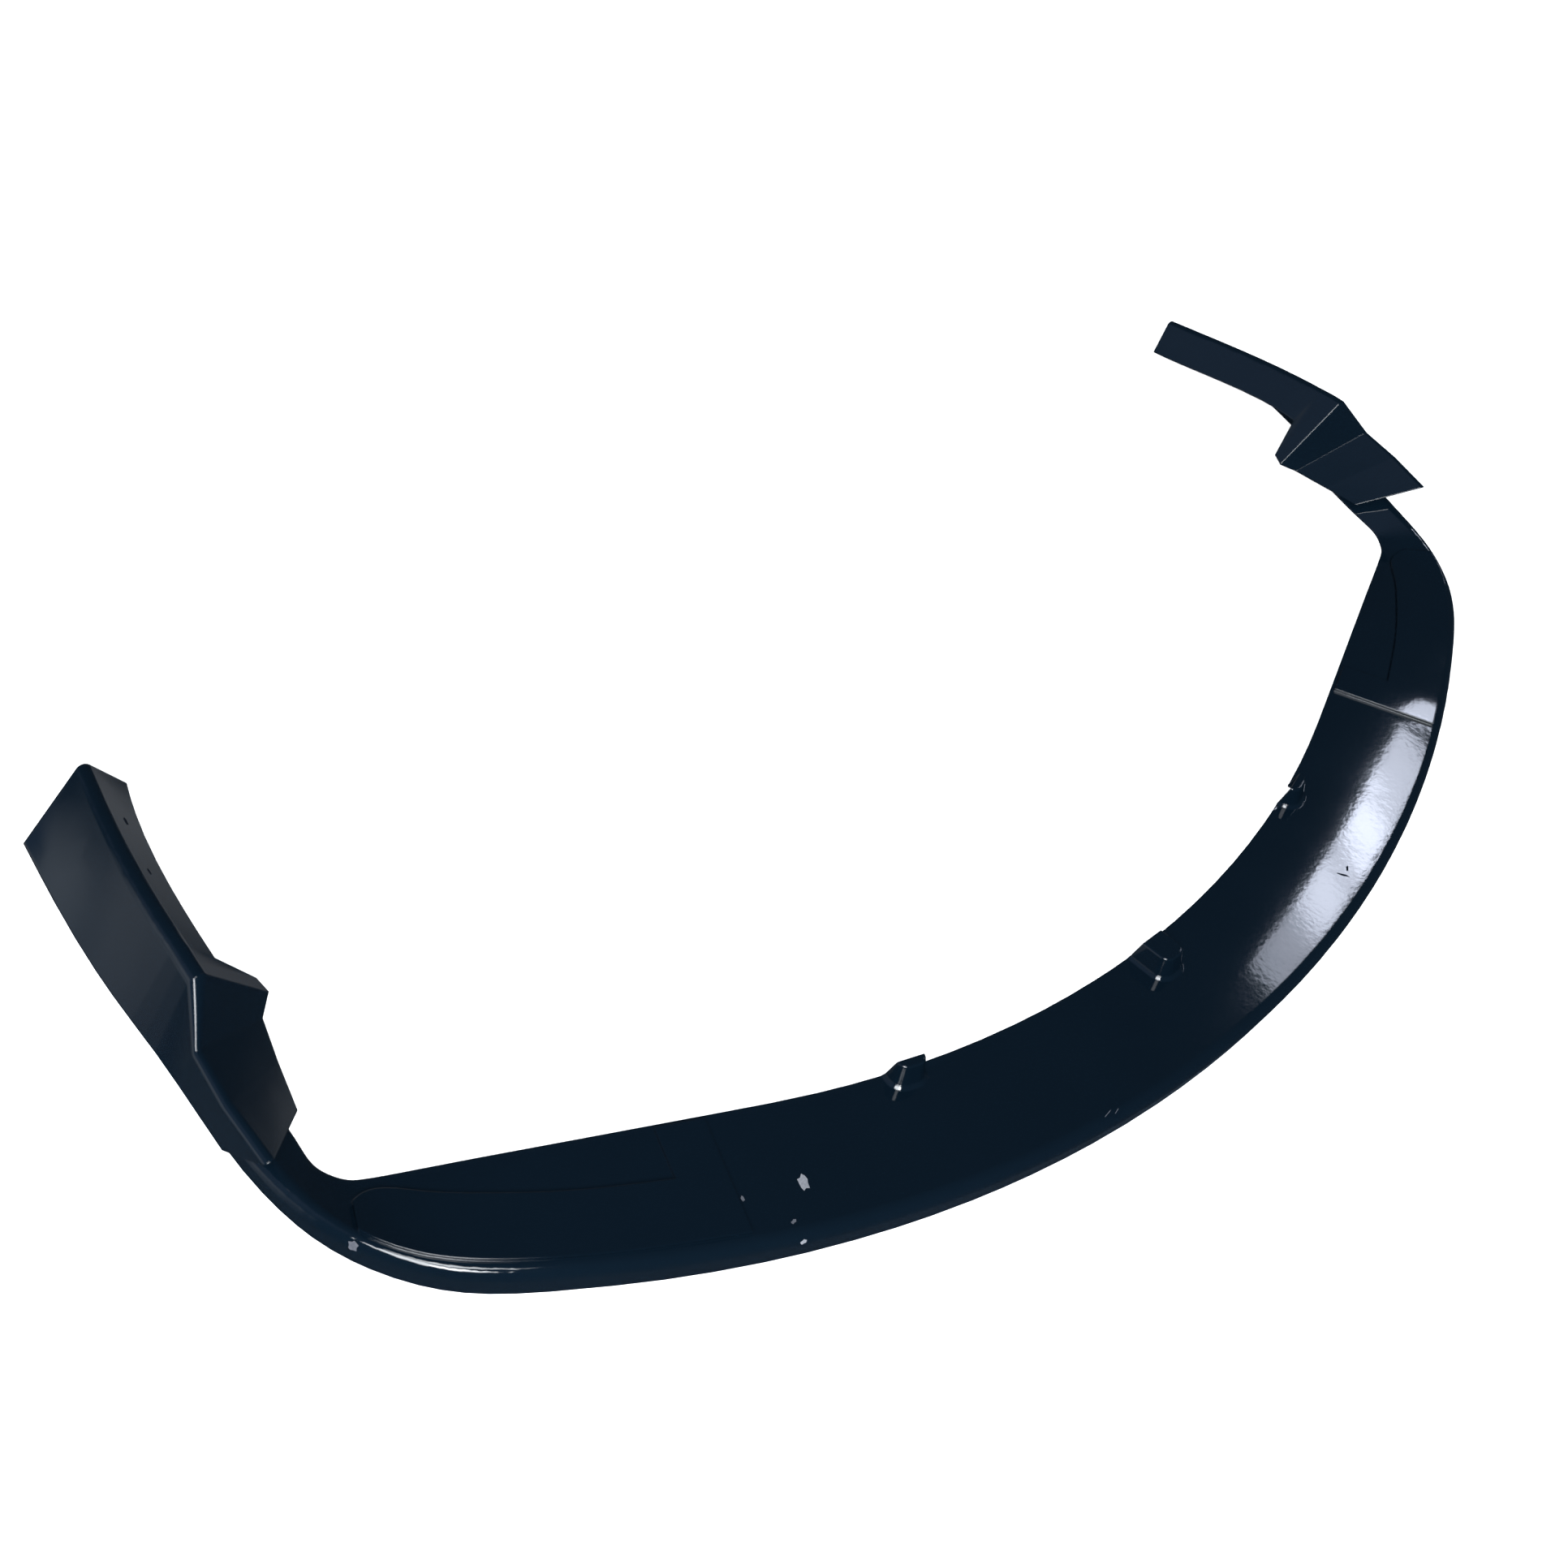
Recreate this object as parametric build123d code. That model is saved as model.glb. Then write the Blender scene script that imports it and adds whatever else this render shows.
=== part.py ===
# Front bumper spoiler: one thin-walled plastic moulding, U-shaped in plan, the same on both sides.
# It stands on its lower edges at Z = 0. The car's nose is towards -Y, the arms run back along +Y.
# All sizes are in millimetres.
import math
import os

from build123d import *

# Wall of the moulding
WALL = 3.0

# Inner edge of the blade in plan: a wide arc, a straight run and a tight corner on each side
INNER_RADIUS = 1180.0
INNER_SWEEP = 22.4
ARM_INNER_X = 797.0
INNER_CORNER_RADIUS = 45.0

# Outer edge of the blade in plan: a wide arc and a wide corner on each side
OUTER_RADIUS = 1350.0
OUTER_CORNER_RADIUS = 240.0
OUTER_CORNER_START = 32.7
OUTER_CORNER_MID = 50.0
OUTER_CORNER_END = 82.0
BLADE_DEPTH = 130.0

# Blade section: the plate climbs from the inner edge to the rim, which turns down to the ground
INNER_EDGE_HEIGHT = 3.0
RIM_HEIGHT = 40.0
RIM_ROUND = 10.0
RIM_LEAN = 1.5
BLADE_END_Y = 345.0
ARM_OUTER_X = 844.0

# Raised pads on the blade, one on each side
PAD_RISE = 4.0
PAD_TO_RIM = 14.0
PAD_TO_INNER = 3.5
PAD_START = 1.165
PAD_LEG = 1.30
PAD_END = 2.33
# Stations along the blade and distances from the inner edge where the pad's band begins
PAD_WINDOW = ((2.30, 24.0), (2.10, 14.0), (1.90, 22.0), (1.75, 36.0), (1.60, 46.0), (1.45, 52.0))
PAD_LEG_DEPTH = 56.0
# Length of the blade's straight run for one unit of station
STATION_RUN = 345.0

# Tongue-shaped mounting bosses at the inner edge: a long one at the centre, a short one on each side
BOSS_HEIGHT = 25.0
BOSS_BASE_WIDTH = 39.0
BOSS_DRAFT = 10.0
BOSS_NOSE_ROUND = 15.0
BOSS_EDGE_ROUND = 2.0
BOSS_FOOT = 3.0
BOSS_BACK = 14.0
CENTRE_BOSS_LENGTH = 44.0
SIDE_BOSS_LENGTH = 21.0
SIDE_BOSS_STATION = 0.69

# Wings at the ends of the arms: points of the right-hand wing (bottom edge, ridge, inner edge)
WING_ROUND = 9.0
SHELF_ROUND = 5.0
WING_REAR = ((846, 626, 0), (778, 655, 34), (747, 640, 2))
WING_BACK = ((851, 560, 0), (795, 572, 57), (766, 566, 19))
WING_MID = ((853, 490, 0), (807, 492, 79), (778, 486, 41))
WING_CORNER = ((851, 436, 0), (812, 432, 94), (782, 430, 51))
TAB_BACK = ((850, 418, 0), (814, 416, 97.5), (753, 414, 13))
TAB_FOLD = ((849, 402, 0), (815, 401, 100), (750, 399, 10))
STEP_FOOT = ((848, 368, 0), (840, 356, 75), (766, 381, 9))
SHELF_MID = ((847.5, 332, 0), (843, 306, 75), (777, 338, 14))
SHELF_FRONT = ((847, 302, 0), (840, 250, 74), (787, 293, 20))


def sharp_ridge(bottom, crest, inner, radius):
    """Where the two faces would meet, for a fold whose rounded crest is given."""
    b, t, f = Vector(*bottom), Vector(*crest), Vector(*inner)
    tip = t
    for _ in range(4):
        u, v = (b - tip).normalized(), (f - tip).normalized()
        half = math.acos(max(-1.0, min(1.0, u.dot(v)))) / 2
        tip = t - (u + v).normalized() * (radius / math.sin(half) - radius)
    return tuple(tip)


def band_face(bottom, ridge, inner, wall, radius):
    """Section of the folded wall: from the bottom edge over the rounded ridge to the inner edge."""
    b, t, f = Vector(*bottom), Vector(*ridge), Vector(*inner)
    u = (b - t).normalized()
    v = (f - t).normalized()
    half = math.acos(max(-1.0, min(1.0, u.dot(v)))) / 2
    bisector = (u + v).normalized()
    reach = radius / math.tan(half)
    centre = t + bisector * (radius / math.sin(half))
    out_u = t + u * reach
    out_v = t + v * reach
    peak = centre - bisector * radius
    in_u = centre + (out_u - centre).normalized() * (radius - wall)
    in_v = centre + (out_v - centre).normalized() * (radius - wall)
    in_peak = centre - bisector * (radius - wall)
    b_in = b + (in_u - out_u)
    f_in = f + (in_v - out_v)
    edges = [
        Edge.make_line(b, out_u),
        Edge.make_three_point_arc(out_u, peak, out_v),
        Edge.make_line(out_v, f),
        Edge.make_line(f, f_in),
        Edge.make_line(f_in, in_v),
        Edge.make_three_point_arc(in_v, in_peak, in_u),
        Edge.make_line(in_u, b_in),
        Edge.make_line(b_in, b),
    ]
    return Face(Wire(edges))


def outer_arc(angle):
    """Point of the wide outer arc at an angle from the centre line."""
    a = math.radians(angle)
    return OUTER_RADIUS * math.sin(a), OUTER_RADIUS * (1 - math.cos(a)) - BLADE_DEPTH


def outer_corner(angle):
    """Point of the outer corner arc, by the heading of its tangent."""
    x0, y0 = outer_arc(OUTER_CORNER_START)
    a, s = math.radians(angle), math.radians(OUTER_CORNER_START)
    r = OUTER_CORNER_RADIUS
    return x0 + r * (math.sin(a) - math.sin(s)), y0 + r * (math.cos(s) - math.cos(a))


def plan_pair(u):
    """Matching points of the inner and the outer edge; u runs 0..4 from the centre to the arm's end."""
    sweep = math.radians(INNER_SWEEP)
    x1 = INNER_RADIUS * math.sin(sweep)
    y1 = INNER_RADIUS * (1 - math.cos(sweep))
    tangent = INNER_CORNER_RADIUS * math.tan((math.pi / 2 - sweep) / 2)
    y_meet = y1 + (ARM_INNER_X - x1) * math.tan(sweep)
    x2 = ARM_INNER_X - tangent * math.cos(sweep)
    y2 = y_meet - tangent * math.sin(sweep)
    y3 = y_meet + tangent
    first = INNER_SWEEP - 0.6
    if u <= 1:
        a = math.radians(INNER_SWEEP * u)
        return (INNER_RADIUS * math.sin(a), INNER_RADIUS * (1 - math.cos(a))), outer_arc(first * u)
    if u <= 2:
        k = u - 1
        long_arc = OUTER_RADIUS * math.radians(OUTER_CORNER_START - first)
        corner_arc = OUTER_CORNER_RADIUS * math.radians(OUTER_CORNER_MID - OUTER_CORNER_START)
        run = k * (long_arc + corner_arc)
        if run <= long_arc:
            outer = outer_arc(first + math.degrees(run / OUTER_RADIUS))
        else:
            outer = outer_corner(OUTER_CORNER_START + math.degrees((run - long_arc) / OUTER_CORNER_RADIUS))
        return (x1 + k * (x2 - x1), y1 + k * (y2 - y1)), outer
    if u <= 3:
        k = u - 2
        a = sweep + k * (math.pi / 2 - sweep)
        r = INNER_CORNER_RADIUS
        inner = (ARM_INNER_X - r + r * math.sin(a), y3 - r * math.cos(a))
        return inner, outer_corner(OUTER_CORNER_MID + (OUTER_CORNER_END - OUTER_CORNER_MID) * k)
    k = u - 3
    ox, oy = outer_corner(OUTER_CORNER_END)
    bend = 1 - (1 - k) ** 2
    inner = (ARM_INNER_X, y3 + k * (BLADE_END_Y - y3))
    return inner, (ox + bend * (ARM_OUTER_X - ox), oy + k * (BLADE_END_Y - oy))


def blade_points(u, side):
    """Rim foot, rim top and inner edge of the blade at a station."""
    (ix, iy), (ox, oy) = plan_pair(u)
    dx, dy = ox - ix, oy - iy
    d = math.hypot(dx, dy)
    lean = RIM_LEAN / d
    foot = (side * (ox + dx * lean), oy + dy * lean, 0)
    return foot, (side * ox, oy, RIM_HEIGHT), (side * ix, iy, INNER_EDGE_HEIGHT)


def skin_face(u, side, low, high):
    """Section of a layer parallel to the blade's top, between two heights over it."""
    foot, top, inner = (Vector(*p) for p in blade_points(u, side))
    along = (top - inner).normalized()
    flat = Vector(along.X, along.Y, 0).normalized()
    up = Vector(-flat.X * along.Z, -flat.Y * along.Z, math.hypot(along.X, along.Y))
    a = inner - along * (2 * RIM_ROUND)
    b = top - along * PAD_RISE
    pts = [a + up * low, b + up * low, b + up * high, a + up * high]
    return Face(Wire.make_polygon(pts, close=True))


STATIONS = [0, 0.2, 0.4, 0.6, 0.8, 1.0, 1.2, 1.4, 1.6, 1.8, 2.0, 2.33, 2.67, 3.0, 3.5, 4.0]


def both_sides(us):
    """Stations from the end of the left arm to the end of the right arm."""
    return [(u, -1) for u in reversed(us) if u > 0] + [(u, 1) for u in us]


blade = loft([band_face(*blade_points(u, s), WALL, RIM_ROUND) for u, s in both_sides(STATIONS)])


def wing_face(row, radius):
    """Section of a wing; its bottom edge is drawn a little long and trimmed at the ground."""
    bottom, crest, inner = row
    ridge = sharp_ridge(bottom, crest, inner, radius)
    b, t = Vector(*bottom), Vector(*ridge)
    spare = 4.0
    b = b + (b - t).normalized() * spare
    return band_face(tuple(b), ridge, inner, WALL, radius)


def wing(rows, radius, ruled):
    """Length of a wing through a row of sections."""
    return loft([wing_face(row, radius) for row in rows], ruled=ruled)


right_wing = [
    wing([WING_REAR, WING_BACK, WING_MID, WING_CORNER], WING_ROUND, False),
    wing([WING_CORNER, TAB_BACK, TAB_FOLD], WING_ROUND, True),
    loft([wing_face(TAB_FOLD, WING_ROUND), wing_face(STEP_FOOT, SHELF_ROUND)], ruled=True),
    wing([STEP_FOOT, SHELF_MID, SHELF_FRONT], SHELF_ROUND, True),
]
wing_right = right_wing[0].fuse(*right_wing[1:])
wing_left = wing_right.mirror(Plane.YZ)


def plan_point(u, from_inner=None, from_rim=None):
    """Plan point at a station, by its distance from the inner edge or from the rim."""
    (ix, iy), (ox, oy) = plan_pair(u)
    d = math.hypot(ox - ix, oy - iy)
    k = from_inner / d if from_inner is not None else 1 - from_rim / d
    return Vector(ix + k * (ox - ix), iy + k * (oy - iy), 0)


def pad_outline(inset):
    """Plan of the right-hand pad, a band along the rim with a leg to the inner edge, drawn in by an inset."""
    start = PAD_START + inset / STATION_RUN
    end = PAD_END - inset / STATION_RUN
    leg = PAD_LEG - inset / STATION_RUN
    front = [plan_point(u, from_rim=PAD_TO_RIM + inset) for u in (start, 1.45, 1.75, 2.05, end)]
    window = [plan_point(min(u, end), from_inner=d + inset) for u, d in PAD_WINDOW]
    window.append(plan_point(leg, from_inner=PAD_LEG_DEPTH + inset))
    leg_foot = plan_point(leg, from_inner=PAD_TO_INNER + inset)
    end_foot = plan_point(start, from_inner=PAD_TO_INNER + inset)
    edges = [
        Edge.make_line(end_foot, front[0]),
        Edge.make_spline(front),
        Edge.make_line(front[-1], window[0]),
        Edge.make_spline(window),
        Edge.make_line(window[-1], leg_foot),
        Edge.make_line(leg_foot, end_foot),
    ]
    return Face(Wire(edges))


def layer(low, high):
    """Solid layer parallel to the blade's top under and over the right-hand pad."""
    return loft([skin_face(u, 1, low, high) for u in (1.0, 1.2, 1.4, 1.6, 1.8, 2.0, 2.33, 2.67)])


reach = 3 * RIM_HEIGHT
pad = extrude(pad_outline(0), amount=reach, dir=(0, 0, 1)) & layer(-WALL / 3, PAD_RISE)
recess = extrude(pad_outline(WALL), amount=reach, dir=(0, 0, 1)) & layer(-2 * WALL, PAD_RISE - WALL)


def boss(u, side, length):
    """One hollow tongue standing square on the blade, with the hollow that opens at the inner edge."""
    foot, top, inner = (Vector(*p) for p in blade_points(u, side))
    along = (top - inner).normalized()
    flat = Vector(along.X, along.Y, 0).normalized()
    up = Vector(-flat.X * along.Z, -flat.Y * along.Z, math.hypot(along.X, along.Y))
    plane = Plane(origin=inner, x_dir=along.cross(up), z_dir=up)

    def tongue(grow):
        run = length + grow + BOSS_BACK
        shape = Rectangle(BOSS_BASE_WIDTH + 2 * grow, run)
        shape = Pos(0, run / 2 - BOSS_BACK) * shape
        nose = shape.vertices().sort_by(Axis.Y)[-2:]
        return fillet(nose, BOSS_NOSE_ROUND + grow)

    body = extrude(tongue(0), amount=BOSS_HEIGHT, taper=BOSS_DRAFT)
    crown = body.faces().sort_by(Axis.Z)[-1]
    body = fillet(crown.edges().sort_by(Axis.Y)[1:], BOSS_EDGE_ROUND)
    root = extrude(tongue(0), amount=-WALL / 2)
    skirt = extrude(tongue(BOSS_FOOT), amount=BOSS_FOOT, taper=45)
    hollow = extrude(tongue(-WALL), amount=BOSS_HEIGHT - WALL, taper=BOSS_DRAFT)
    hollow += extrude(tongue(-WALL), amount=-WALL - PAD_RISE)
    return plane.location * (body + root + skirt), plane.location * hollow


def bay():
    """Space inside the U, up to the inner edge, that trims the rear of the bosses."""
    right = [plan_point(u, from_inner=0) for u in (0, 0.25, 0.5, 0.75, 1.0)]
    left = [Vector(-p.X, p.Y, 0) for p in reversed(right[1:])]
    far = Vector(0, INNER_RADIUS / 4, 0)
    edges = [
        Edge.make_spline(left + right),
        Edge.make_line(right[-1], right[-1] + far),
        Edge.make_line(right[-1] + far, left[0] + far),
        Edge.make_line(left[0] + far, left[0]),
    ]
    return extrude(Face(Wire(edges)), amount=2 * BOSS_HEIGHT, both=True)


bosses = [boss(0, 1, CENTRE_BOSS_LENGTH), boss(SIDE_BOSS_STATION, 1, SIDE_BOSS_LENGTH)]
bosses.append(tuple(piece.mirror(Plane.YZ) for piece in bosses[1]))
open_bay = bay()

moulding = blade.fuse(wing_right, wing_left)
moulding = moulding.fuse(pad, pad.mirror(Plane.YZ))
moulding = moulding.cut(recess, recess.mirror(Plane.YZ))
for body, hollow in bosses:
    moulding = moulding.fuse(body - open_bay).cut(hollow)
ground = extrude(Rectangle(3 * OUTER_RADIUS, 3 * OUTER_RADIUS), amount=-4 * WALL)
moulding = moulding.cut(ground)

# The row's origin is under the middle of the moulding
extent = moulding.bounding_box()
moulding = moulding.moved(Location((0, -(extent.min.Y + extent.max.Y) / 2, 0)))

os.makedirs("parts", exist_ok=True)
export_step(moulding, "parts/lip_moulding.step")
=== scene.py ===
"""Looks of the bumper spoiler: gloss-black moulding, specks of dirt, floor, lights and camera."""

import math

import bmesh
import bpy
from bpy.props import FloatProperty, FloatVectorProperty, PointerProperty
from mathutils import Matrix, Vector


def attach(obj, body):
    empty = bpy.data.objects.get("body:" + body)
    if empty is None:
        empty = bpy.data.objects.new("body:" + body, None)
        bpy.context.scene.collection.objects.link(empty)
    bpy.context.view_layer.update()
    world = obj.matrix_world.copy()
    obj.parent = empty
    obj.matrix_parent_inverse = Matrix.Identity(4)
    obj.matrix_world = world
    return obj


bl_info = {
    "name": "Bumper spoiler looks",
    "version": (1, 0, 0),
    "blender": (4, 5, 0),
    "location": "View3D > Sidebar > Spoiler",
    "description": "Builds the looks of a gloss-black bumper spoiler round its CAD solid",
    "category": "Object",
}

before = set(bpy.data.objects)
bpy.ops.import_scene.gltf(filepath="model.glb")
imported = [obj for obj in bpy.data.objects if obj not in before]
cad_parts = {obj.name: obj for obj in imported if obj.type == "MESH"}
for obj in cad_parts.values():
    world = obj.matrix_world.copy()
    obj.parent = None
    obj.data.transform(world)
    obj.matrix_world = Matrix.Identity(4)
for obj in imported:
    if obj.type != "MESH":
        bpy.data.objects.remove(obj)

MOULDING = "lip_moulding"

# The photo's side in pixels; places on the surface below are named in these pixels
PHOTO_SIDE = 1932

# Gloss-black plastic: cloudy haze in its tone and gloss, fine orange-peel, softened edges
HAZE_SCALE = 7.0
HAZE_DETAIL = 3.0
HAZE_LIFT = 1.25
GLOSS_SPREAD = (0.7, 1.4)
PEEL_SCALE = 160.0
PEEL_STRENGTH = 0.02
PEEL_DEPTH = 0.001
EDGE_SAMPLES = 6
PLASTIC_IOR = 1.5

# Specks: pixel across, pixel down, length and width in metres, turn in degrees
PALE_SPECKS = (
    (990, 1457, 0.015, 0.009, 60),
    (990, 1530, 0.006, 0.004, 20),
)
GREY_SPECKS = (
    (435, 1535, 0.010, 0.008, 30),
    (978, 1505, 0.006, 0.003, 10),
    (915, 1477, 0.005, 0.003, 70),
    (1365, 1372, 0.012, 0.0007, 8),
    (1376, 1369, 0.008, 0.0006, 14),
)
DARK_SPECKS = (
    (1655, 1078, 0.012, 0.0025, 120),
    (1660, 1070, 0.008, 0.0025, 35),
    (184, 1074, 0.007, 0.003, 65),
    (155, 1012, 0.009, 0.004, 60),
)
# Groups of specks: name, rows, darker tone and lighter tone
SPECK_GROUPS = (
    ("pale_specks", PALE_SPECKS, (0.08, 0.085, 0.10), (0.22, 0.23, 0.25)),
    ("grey_specks", GREY_SPECKS, (0.03, 0.035, 0.045), (0.09, 0.095, 0.11)),
    ("dark_specks", DARK_SPECKS, (0.004, 0.006, 0.010), (0.010, 0.013, 0.018)),
)
SPECK_GRAIN = 500.0
# Corners of a flake, how far they stray and how the stray changes from corner to corner
FLAKE_SIDES = 11
FLAKE_STRAY = 0.22
FLAKE_WOBBLE = 3.7

# Window light: pixels where its reflection begins and ends along the rim and across it
WINDOW_LOW = (1566, 1195)
WINDOW_HIGH = (1732, 935)
WINDOW_INNER = (1644, 1041)
WINDOW_OUTER = (1694, 1050)
# Brightness of the window's panes from its low end to its high end
WINDOW_PANES = (6.5, 10.0, 12.5)
WINDOW_COLOUR = (0.78, 0.84, 1.0)

# Square lamps: name, place, target and size in metres, brightness
LAMPS = (
    ("top", (-0.90, -0.40, 2.40), (0.0, 0.0, 0.0), 0.70, 16.0),
    ("key", (-1.66, -1.45, 2.11), (-0.62, -0.28, 0.03), 0.62, 26.0),
    ("step", (-1.95, -0.92, 2.15), (-0.83, 0.12, 0.09), 1.10, 20.0),
)
LAMP_COLOUR = (0.92, 0.96, 1.0)

# Colours of the room: dim walls, pale band low at the rear, cool glows on the left, pale backdrop
ROOM_DIM = (0.026, 0.036, 0.050)
BAND_GLOW = (0.27, 0.29, 0.32)
HIGH_GLOW = (0.16, 0.20, 0.30)
LOW_GLOW = (0.72, 0.78, 0.86)
BACKDROP = (0.95, 0.95, 0.95)
# Where each glow goes from none to full, along one axis of a unit direction
REAR_RISE = (-0.15, 0.25)
BAND_FOOT = (-0.75, -0.45)
BAND_TOP = (-0.18, -0.40)
HIGH_SIDE = (-0.10, -0.45)
HIGH_FOOT = (0.10, 0.45)
LOW_SIDE = (-0.45, -0.80)
LOW_FOOT = (-0.60, 0.15)
LOW_TOP = (0.45, 0.20)

# Tones and grain of the floor
FLOOR_TONES = ((0.90, 0.90, 0.90), (0.92, 0.92, 0.92))
FLOOR_GRAIN = 2.0

# Farthest distance that the camera sees, in metres
CAMERA_REACH = 100.0


class SpoilerSettings(bpy.types.PropertyGroup):
    """Sizes and colours of the looks, in metres and linear colour."""

    paint: FloatVectorProperty(
        name="Paint",
        description="Colour of the plastic under its gloss",
        subtype="COLOR",
        size=3,
        default=(0.0012, 0.0036, 0.0069),
    )
    roughness: FloatProperty(
        name="Roughness",
        description="Middle roughness of the gloss, which the haze spreads",
        subtype="FACTOR",
        default=0.045,
        min=0.0,
        max=1.0,
    )
    crease_angle: FloatProperty(
        name="Crease angle",
        description="Folds sharper than this stay crisp",
        subtype="ANGLE",
        default=math.radians(24),
    )
    edge_round: FloatProperty(
        name="Edge round",
        description="Radius that the shading gives to crisp edges",
        unit="LENGTH",
        default=0.0022,
    )
    speck_thickness: FloatProperty(
        name="Speck thickness",
        description="Full thickness of a flake, half of it sunk in the surface",
        unit="LENGTH",
        default=0.0005,
    )


class StageSettings(bpy.types.PropertyGroup):
    """Camera and light of the stage."""

    eye: FloatVectorProperty(
        name="Eye",
        description="Place of the camera",
        subtype="TRANSLATION",
        size=3,
        default=(-1.1158, -0.3848, 1.2857),
    )
    aim: FloatVectorProperty(
        name="Aim",
        description="Point at the middle of the picture",
        subtype="TRANSLATION",
        size=3,
        default=(-0.2270, 0.0715, 0.0300),
    )
    roll: FloatProperty(
        name="Roll",
        description="Turn of the camera about its line of sight",
        subtype="ANGLE",
        default=math.radians(27.95),
    )
    lens: FloatProperty(
        name="Lens",
        description="Focal length in millimetres",
        unit="CAMERA",
        default=37.27,
    )
    sensor: FloatProperty(
        name="Sensor",
        description="Sensor width in millimetres",
        unit="CAMERA",
        default=36.0,
    )
    floor_size: FloatProperty(
        name="Floor size",
        description="Side of the square floor",
        unit="LENGTH",
        default=30.0,
    )
    sun_energy: FloatProperty(
        name="Sun",
        description="Strength of the even light in watts per square metre",
        default=4.0,
    )
    sun_beam: FloatVectorProperty(
        name="Sun beam",
        description="Direction in which the even light travels",
        subtype="DIRECTION",
        size=3,
        default=(0.40, 0.45, -0.80),
    )
    sun_angle: FloatProperty(
        name="Sun angle",
        description="Width of the even light's source, as an angle",
        subtype="ANGLE",
        default=math.radians(26),
    )
    light_distance: FloatProperty(
        name="Light distance",
        description="How far the window light stands from the plastic that mirrors it",
        unit="LENGTH",
        default=2.6,
    )


def camera_turn(stage):
    """Rotation of the camera from its eye, aim and roll."""
    look = (Vector(stage.aim) - Vector(stage.eye)).to_track_quat("-Z", "Y").to_matrix()
    return look @ Matrix.Rotation(stage.roll, 3, "Z")


def seat(stage, pixel):
    """Point and outward normal of the moulding at a pixel of the photo."""
    scale = stage.sensor / stage.lens / PHOTO_SIDE
    half = PHOTO_SIDE / 2
    ray = camera_turn(stage) @ Vector(((pixel[0] - half) * scale, (half - pixel[1]) * scale, -1))
    hit, point, normal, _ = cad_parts[MOULDING].ray_cast(Vector(stage.eye), ray.normalized())
    if not hit:
        raise RuntimeError(f"no surface at pixel {pixel}")
    return point, normal


def mirrored(stage, pixel):
    """Place in the room that the moulding mirrors to the eye at a pixel of the photo."""
    point, normal = seat(stage, pixel)
    sight = (point - Vector(stage.eye)).normalized()
    return point + sight.reflect(normal) * stage.light_distance


def node_tree(material):
    """Empties a material's node tree and returns its nodes and links."""
    material.use_nodes = True
    tree = material.node_tree
    tree.nodes.clear()
    return tree.nodes, tree.links


def gloss_black(settings):
    """Gloss-black plastic with softened edges, a faint orange-peel and a cloudy haze."""
    material = bpy.data.materials.new("gloss_black")
    nodes, links = node_tree(material)
    out = nodes.new("ShaderNodeOutputMaterial")
    body = nodes.new("ShaderNodeBsdfPrincipled")
    coords = nodes.new("ShaderNodeTexCoord")
    cloud = nodes.new("ShaderNodeTexNoise")
    cloud.inputs["Scale"].default_value = HAZE_SCALE
    cloud.inputs["Detail"].default_value = HAZE_DETAIL
    tint = nodes.new("ShaderNodeMix")
    tint.data_type = "RGBA"
    tint.inputs["A"].default_value = (*settings.paint, 1)
    tint.inputs["B"].default_value = (*(HAZE_LIFT * c for c in settings.paint), 1)
    rough = nodes.new("ShaderNodeMapRange")
    least, most = GLOSS_SPREAD
    rough.inputs["To Min"].default_value = settings.roughness * least
    rough.inputs["To Max"].default_value = settings.roughness * most
    edge = nodes.new("ShaderNodeBevel")
    edge.samples = EDGE_SAMPLES
    edge.inputs["Radius"].default_value = settings.edge_round
    peel = nodes.new("ShaderNodeTexNoise")
    peel.inputs["Scale"].default_value = PEEL_SCALE
    bump = nodes.new("ShaderNodeBump")
    bump.inputs["Strength"].default_value = PEEL_STRENGTH
    bump.inputs["Distance"].default_value = PEEL_DEPTH
    links.new(coords.outputs["Object"], cloud.inputs["Vector"])
    links.new(coords.outputs["Object"], peel.inputs["Vector"])
    links.new(cloud.outputs["Fac"], tint.inputs["Factor"])
    links.new(cloud.outputs["Fac"], rough.inputs["Value"])
    links.new(tint.outputs["Result"], body.inputs["Base Color"])
    links.new(rough.outputs["Result"], body.inputs["Roughness"])
    links.new(peel.outputs["Fac"], bump.inputs["Height"])
    links.new(edge.outputs["Normal"], bump.inputs["Normal"])
    links.new(bump.outputs["Normal"], body.inputs["Normal"])
    body.inputs["IOR"].default_value = PLASTIC_IOR
    links.new(body.outputs["BSDF"], out.inputs["Surface"])
    return material


def mottled(name, low, high, scale):
    """Matt material whose colour wanders between two tones."""
    material = bpy.data.materials.new(name)
    nodes, links = node_tree(material)
    out = nodes.new("ShaderNodeOutputMaterial")
    body = nodes.new("ShaderNodeBsdfDiffuse")
    coords = nodes.new("ShaderNodeTexCoord")
    noise = nodes.new("ShaderNodeTexNoise")
    noise.inputs["Scale"].default_value = scale
    mix = nodes.new("ShaderNodeMix")
    mix.data_type = "RGBA"
    mix.inputs["A"].default_value = (*low, 1)
    mix.inputs["B"].default_value = (*high, 1)
    links.new(coords.outputs["Object"], noise.inputs["Vector"])
    links.new(noise.outputs["Fac"], mix.inputs["Factor"])
    links.new(mix.outputs["Result"], body.inputs["Color"])
    links.new(body.outputs["BSDF"], out.inputs["Surface"])
    return material


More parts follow.
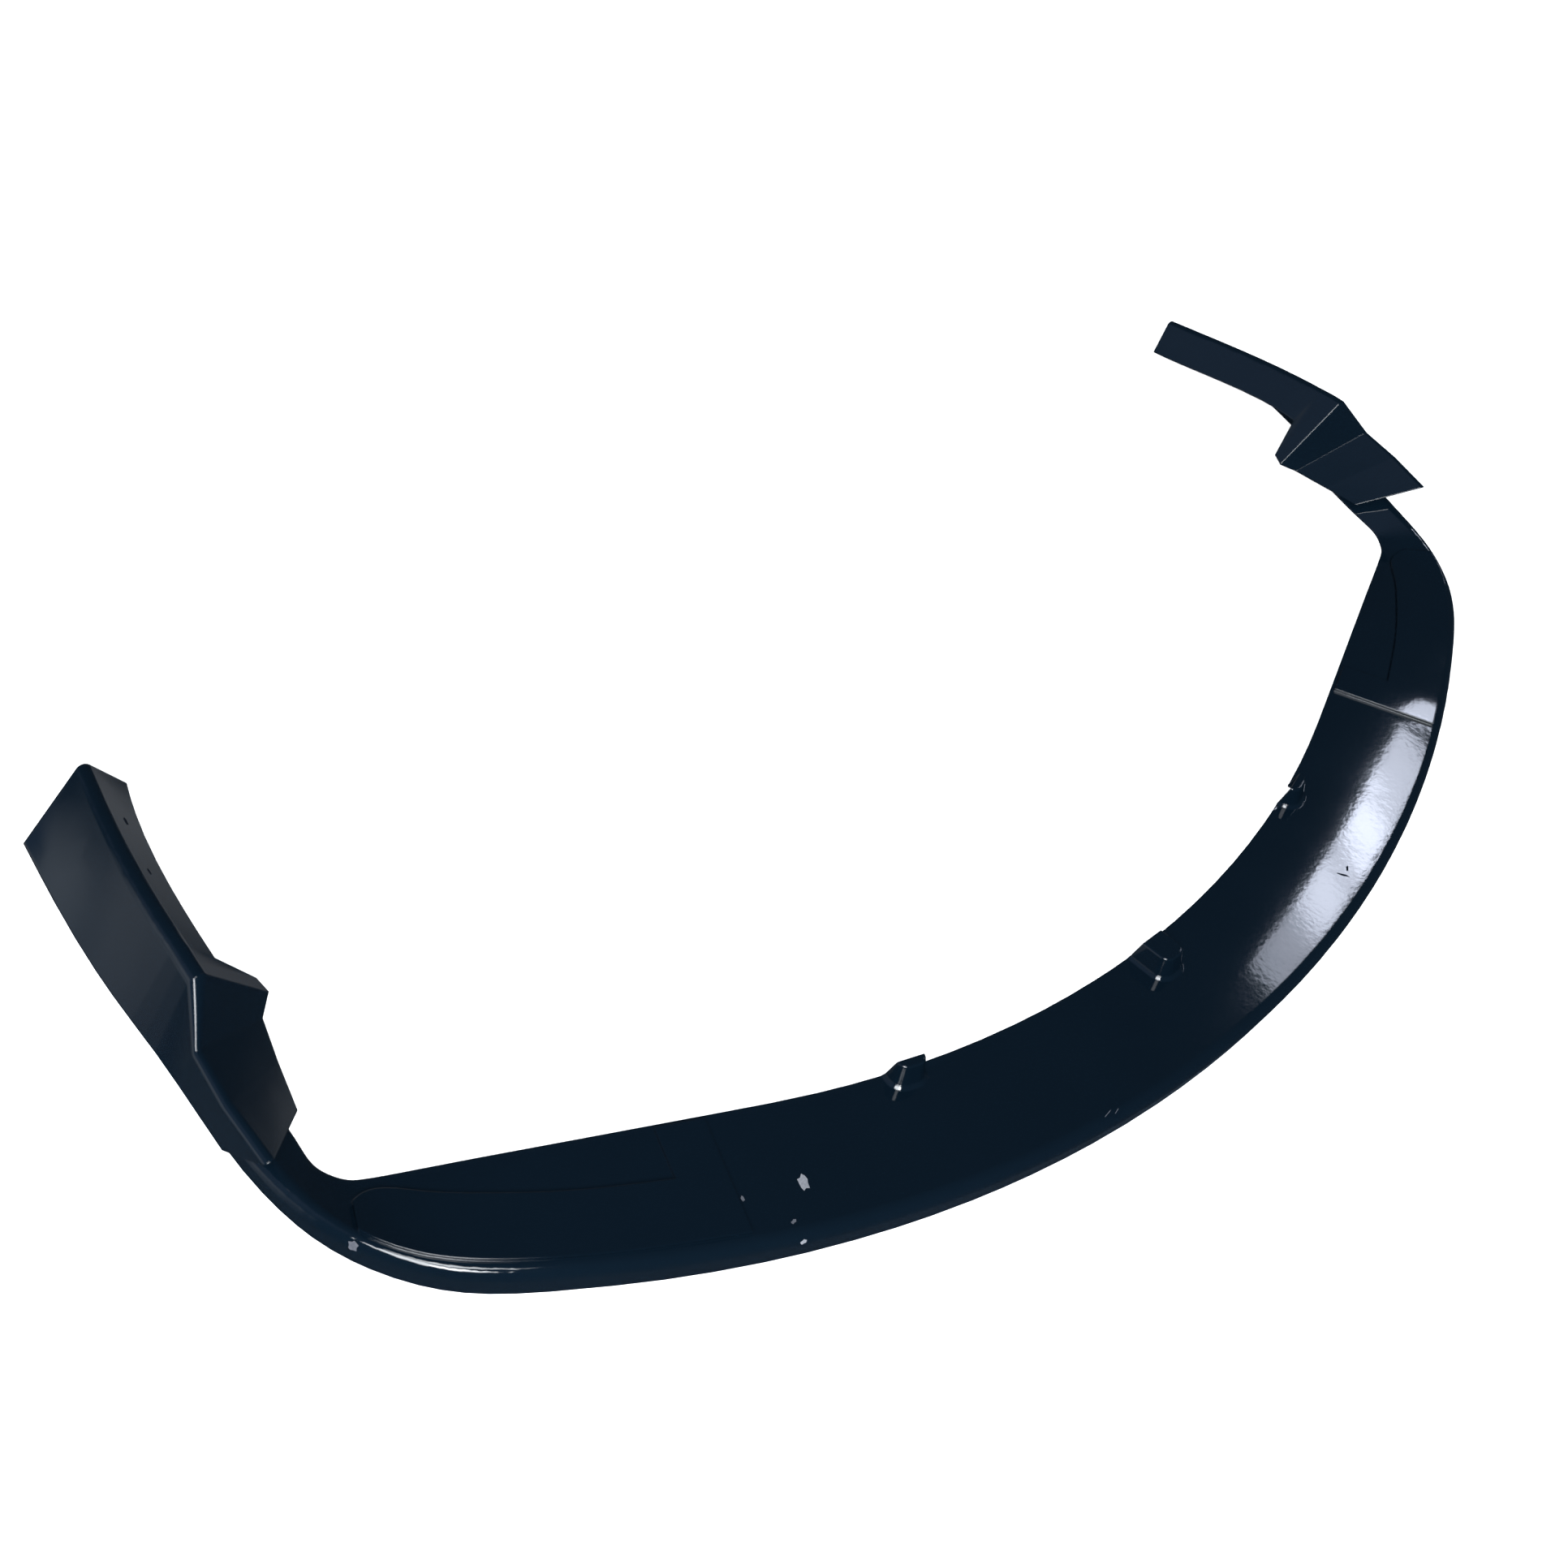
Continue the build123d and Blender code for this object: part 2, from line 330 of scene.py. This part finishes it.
class SPOILER_OT_moulding(bpy.types.Operator):
    """Gives the CAD moulding its smooth faces, crisp folds and gloss-black plastic"""

    bl_idname = "spoiler.moulding"
    bl_label = "Moulding"

    def execute(self, context):
        settings = context.scene.spoiler_settings
        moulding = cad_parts[MOULDING]
        mesh = moulding.data
        mesh.materials.clear()
        mesh.materials.append(gloss_black(settings))
        mesh.shade_smooth()
        mesh.set_sharp_from_angle(angle=settings.crease_angle)
        return {"FINISHED"}


def add_flake(bm, place, normal, length, width, turn, thickness):
    """Ragged flake half sunk in the surface, from a flat disc whose corners stray."""
    along = Vector((math.cos(turn), math.sin(turn), 0))
    along = (along - normal * along.dot(normal)).normalized()
    across = normal.cross(along)
    disc = bmesh.ops.create_cone(
        bm,
        cap_ends=True,
        segments=FLAKE_SIDES,
        radius1=0.5,
        radius2=0.5,
        depth=thickness,
        matrix=Matrix.Rotation(-math.pi / 2, 4, "Z"),
    )
    step = 2 * math.pi / FLAKE_SIDES
    for vert in disc["verts"]:
        x, y, height = vert.co
        corner = round(math.atan2(y, x) / step) % FLAKE_SIDES
        ragged = 1 + FLAKE_STRAY * math.sin(FLAKE_WOBBLE * corner + turn)
        flat = along * (x * length) + across * (y * width)
        vert.co = place + flat * ragged + normal * height


def add_specks(context, name, rows, material):
    """One object with a row of flakes in one tone."""
    thickness = context.scene.spoiler_settings.speck_thickness
    bm = bmesh.new()
    for across, down, length, width, turn in rows:
        place, normal = seat(context.scene.stage_settings, (across, down))
        add_flake(bm, place, normal, length, width, math.radians(turn), thickness)
    mesh = bpy.data.meshes.new(name)
    bm.to_mesh(mesh)
    bm.free()
    mesh.materials.append(material)
    specks = bpy.data.objects.new(name, mesh)
    context.collection.objects.link(specks)
    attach(specks, "root")


class SPOILER_OT_specks(bpy.types.Operator):
    """Adds the specks of dust, film and scratches that lie on the moulding"""

    bl_idname = "spoiler.specks"
    bl_label = "Specks"

    def execute(self, context):
        for name, rows, low, high in SPECK_GROUPS:
            add_specks(context, name, rows, mottled(name, low, high, SPECK_GRAIN))
        return {"FINISHED"}


def add_lamp(context, name, low, high, width, target, radiance, colour):
    """Flat light whose length runs between two places and which faces a target."""
    length = (high - low).length
    light = bpy.data.lights.new(name, "AREA")
    light.shape = "RECTANGLE"
    light.size = width
    light.size_y = length
    light.energy = radiance * math.pi * width * length
    light.color = colour
    middle = (low + high) / 2
    back = (middle - target).normalized()
    up = (high - low).normalized()
    side = up.cross(back).normalized()
    up = back.cross(side)
    lamp = bpy.data.objects.new(name, light)
    lamp.matrix_world = Matrix.Translation(middle) @ Matrix((side, up, back)).transposed().to_4x4()
    lamp.visible_camera = False
    context.collection.objects.link(lamp)


def slope(tree, value, start, stop):
    """Smooth climb from 0 to 1 as a value goes from start to stop."""
    node = tree.nodes.new("ShaderNodeMapRange")
    node.interpolation_type = "SMOOTHSTEP"
    node.inputs["From Min"].default_value = start
    node.inputs["From Max"].default_value = stop
    tree.links.new(value, node.inputs["Value"])
    return node.outputs["Result"]


def times(tree, first, second):
    """Product of two values."""
    node = tree.nodes.new("ShaderNodeMath")
    node.operation = "MULTIPLY"
    tree.links.new(first, node.inputs[0])
    tree.links.new(second, node.inputs[1])
    return node.outputs["Value"]


def glow(tree, under, share, colour):
    """Lays a colour over the one under it by a share."""
    node = tree.nodes.new("ShaderNodeMix")
    node.data_type = "RGBA"
    node.inputs["B"].default_value = (*colour, 1)
    tree.links.new(under, node.inputs["A"])
    tree.links.new(share, node.inputs["Factor"])
    return node.outputs["Result"]


def build_world(context):
    """Dim room with a pale band low at the rear and cool glows on the left.

    The camera sees a pale backdrop in its place, which the plastic doesn't mirror.
    """
    world = bpy.data.worlds.new("studio")
    context.scene.world = world
    world.use_nodes = True
    tree = world.node_tree
    nodes, links = tree.nodes, tree.links
    nodes.clear()
    out = nodes.new("ShaderNodeOutputWorld")
    room = nodes.new("ShaderNodeBackground")
    backdrop = nodes.new("ShaderNodeBackground")
    backdrop.inputs["Color"].default_value = (*BACKDROP, 1)
    either = nodes.new("ShaderNodeMixShader")
    path = nodes.new("ShaderNodeLightPath")
    coords = nodes.new("ShaderNodeTexCoord")
    split = nodes.new("ShaderNodeSeparateXYZ")
    links.new(coords.outputs["Generated"], split.inputs["Vector"])
    x, y, z = (split.outputs[axis] for axis in "XYZ")
    dim = nodes.new("ShaderNodeRGB")
    dim.outputs["Color"].default_value = (*ROOM_DIM, 1)
    rear = slope(tree, y, *REAR_RISE)
    low_band = times(tree, slope(tree, z, *BAND_FOOT), slope(tree, z, *BAND_TOP))
    colour = glow(tree, dim.outputs["Color"], times(tree, low_band, rear), BAND_GLOW)
    left_high = times(tree, slope(tree, x, *HIGH_SIDE), slope(tree, z, *HIGH_FOOT))
    colour = glow(tree, colour, times(tree, left_high, rear), HIGH_GLOW)
    left_low = times(tree, slope(tree, z, *LOW_FOOT), slope(tree, z, *LOW_TOP))
    left_low = times(tree, left_low, slope(tree, x, *LOW_SIDE))
    colour = glow(tree, colour, times(tree, left_low, rear), LOW_GLOW)
    links.new(colour, room.inputs["Color"])
    links.new(path.outputs["Is Camera Ray"], either.inputs["Fac"])
    links.new(room.outputs["Background"], either.inputs[1])
    links.new(backdrop.outputs["Background"], either.inputs[2])
    links.new(either.outputs["Shader"], out.inputs["Surface"])


def build_floor(context, stage):
    """Wide pale floor that the gloss plastic doesn't mirror."""
    mesh = bpy.data.meshes.new("floor")
    bm = bmesh.new()
    bmesh.ops.create_grid(bm, x_segments=1, y_segments=1, size=stage.floor_size / 2)
    bm.to_mesh(mesh)
    bm.free()
    mesh.materials.append(mottled("pale_floor", *FLOOR_TONES, FLOOR_GRAIN))
    floor = bpy.data.objects.new("floor", mesh)
    floor.visible_glossy = False
    context.collection.objects.link(floor)


def build_lights(context, stage):
    """Even light that casts no shadow and isn't mirrored, a window in panes and three square lamps."""
    sun = bpy.data.lights.new("sun", "SUN")
    sun.energy = stage.sun_energy
    sun.angle = stage.sun_angle
    sun.use_shadow = False
    sun_lamp = bpy.data.objects.new("sun", sun)
    sun_lamp.rotation_euler = Vector(stage.sun_beam).to_track_quat("-Z", "Y").to_euler()
    sun_lamp.visible_glossy = False
    context.collection.objects.link(sun_lamp)

    low, high = mirrored(stage, WINDOW_LOW), mirrored(stage, WINDOW_HIGH)
    width = (mirrored(stage, WINDOW_OUTER) - mirrored(stage, WINDOW_INNER)).length
    target, _ = seat(stage, WINDOW_INNER)
    for i, radiance in enumerate(WINDOW_PANES):
        start = low.lerp(high, i / len(WINDOW_PANES))
        stop = low.lerp(high, (i + 1) / len(WINDOW_PANES))
        add_lamp(context, "window", start, stop, width, target, radiance, WINDOW_COLOUR)
    for name, place, target, size, radiance in LAMPS:
        half = Vector((0, size / 2, 0))
        low, high = Vector(place) - half, Vector(place) + half
        add_lamp(context, name, low, high, size, Vector(target), radiance, LAMP_COLOUR)


def build_camera(context, stage):
    """Camera at the photo's angle."""
    camera = bpy.data.cameras.new("camera")
    camera.sensor_width = stage.sensor
    camera.lens = stage.lens
    camera.clip_end = CAMERA_REACH
    view = bpy.data.objects.new("camera", camera)
    view.matrix_world = Matrix.Translation(Vector(stage.eye)) @ camera_turn(stage).to_4x4()
    context.collection.objects.link(view)
    context.scene.camera = view
    context.scene.view_settings.view_transform = "Standard"


class SPOILER_OT_stage(bpy.types.Operator):
    """Adds the floor, the world, the lights and the camera"""

    bl_idname = "spoiler.stage"
    bl_label = "Stage"

    def execute(self, context):
        stage = context.scene.stage_settings
        build_floor(context, stage)
        build_world(context)
        build_lights(context, stage)
        build_camera(context, stage)
        return {"FINISHED"}


class SPOILER_PT_panel(bpy.types.Panel):
    """Sidebar panel with the settings and the operators"""

    bl_label = "Spoiler"
    bl_space_type = "VIEW_3D"
    bl_region_type = "UI"
    bl_category = "Spoiler"

    def draw(self, context):
        layout = self.layout
        settings = context.scene.spoiler_settings
        layout.prop(settings, "paint")
        layout.prop(settings, "roughness")
        for operator in OPERATORS:
            layout.operator(operator.bl_idname)


OPERATORS = (SPOILER_OT_moulding, SPOILER_OT_specks, SPOILER_OT_stage)
CLASSES = (SpoilerSettings, StageSettings, *OPERATORS, SPOILER_PT_panel)


def register():
    """Registers the classes and the scene's settings."""
    for cls in CLASSES:
        bpy.utils.register_class(cls)
    bpy.types.Scene.spoiler_settings = PointerProperty(type=SpoilerSettings)
    bpy.types.Scene.stage_settings = PointerProperty(type=StageSettings)


def unregister():
    """Takes the settings and the classes away again."""
    del bpy.types.Scene.stage_settings
    del bpy.types.Scene.spoiler_settings
    for cls in reversed(CLASSES):
        bpy.utils.unregister_class(cls)


def main():
    """Builds the scene."""
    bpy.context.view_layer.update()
    register()
    bpy.ops.spoiler.moulding()
    bpy.ops.spoiler.specks()
    bpy.ops.spoiler.stage()


if __name__ == "__main__":
    main()
